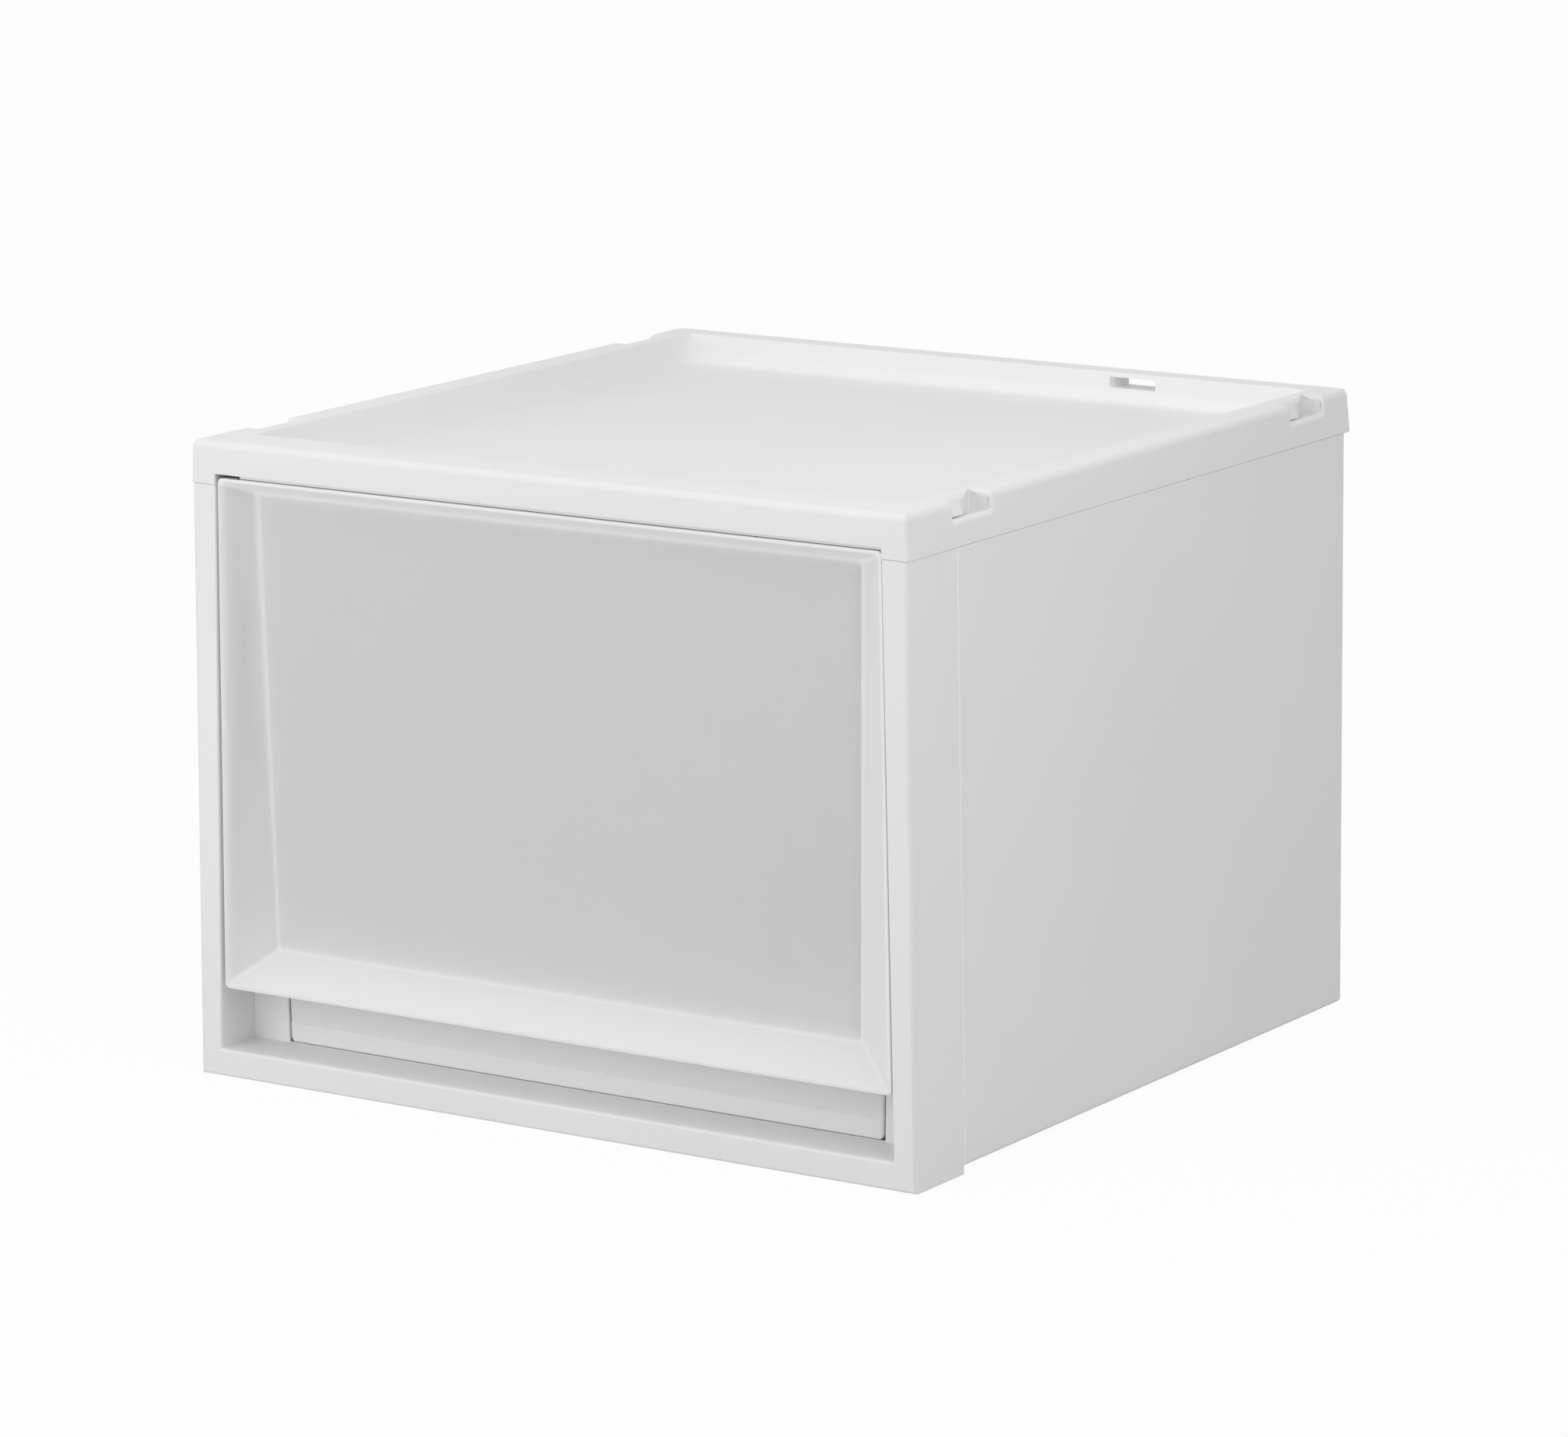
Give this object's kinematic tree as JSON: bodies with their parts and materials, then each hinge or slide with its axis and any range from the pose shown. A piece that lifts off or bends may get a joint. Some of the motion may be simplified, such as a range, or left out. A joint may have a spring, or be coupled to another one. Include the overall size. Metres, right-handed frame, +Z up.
{
  "type": "storage box",
  "caption": "Stackable plastic storage box: a white case with a sunken top tray and a deep frosted drawer that slides out, with a dished front and a finger gap below its lip.",
  "frame": {"origin": "on the floor, under the middle of the box's outline", "axes": "+X to the right as the drawer's front is seen, +Y to the back of the box, +Z up"},
  "size_m": [0.3898, 0.3926, 0.2965],
  "materials": {
    "case_plastic": "satin, opaque white",
    "frosted_plastic": "frosted, translucent white"
  },
  "bodies": {
    "case": {"case_body": "case_plastic", "front_frame": "case_plastic", "top_panel": "case_plastic"},
    "drawer": {"drawer_box": "frosted_plastic", "drawer_front": "frosted_plastic"}
  },
  "joints": [
    {"name": "drawer_slide", "type": "slide", "parent": "case", "child": "drawer", "axis": [0, -1, 0], "range_m": [0, 0.3]}
  ]
}
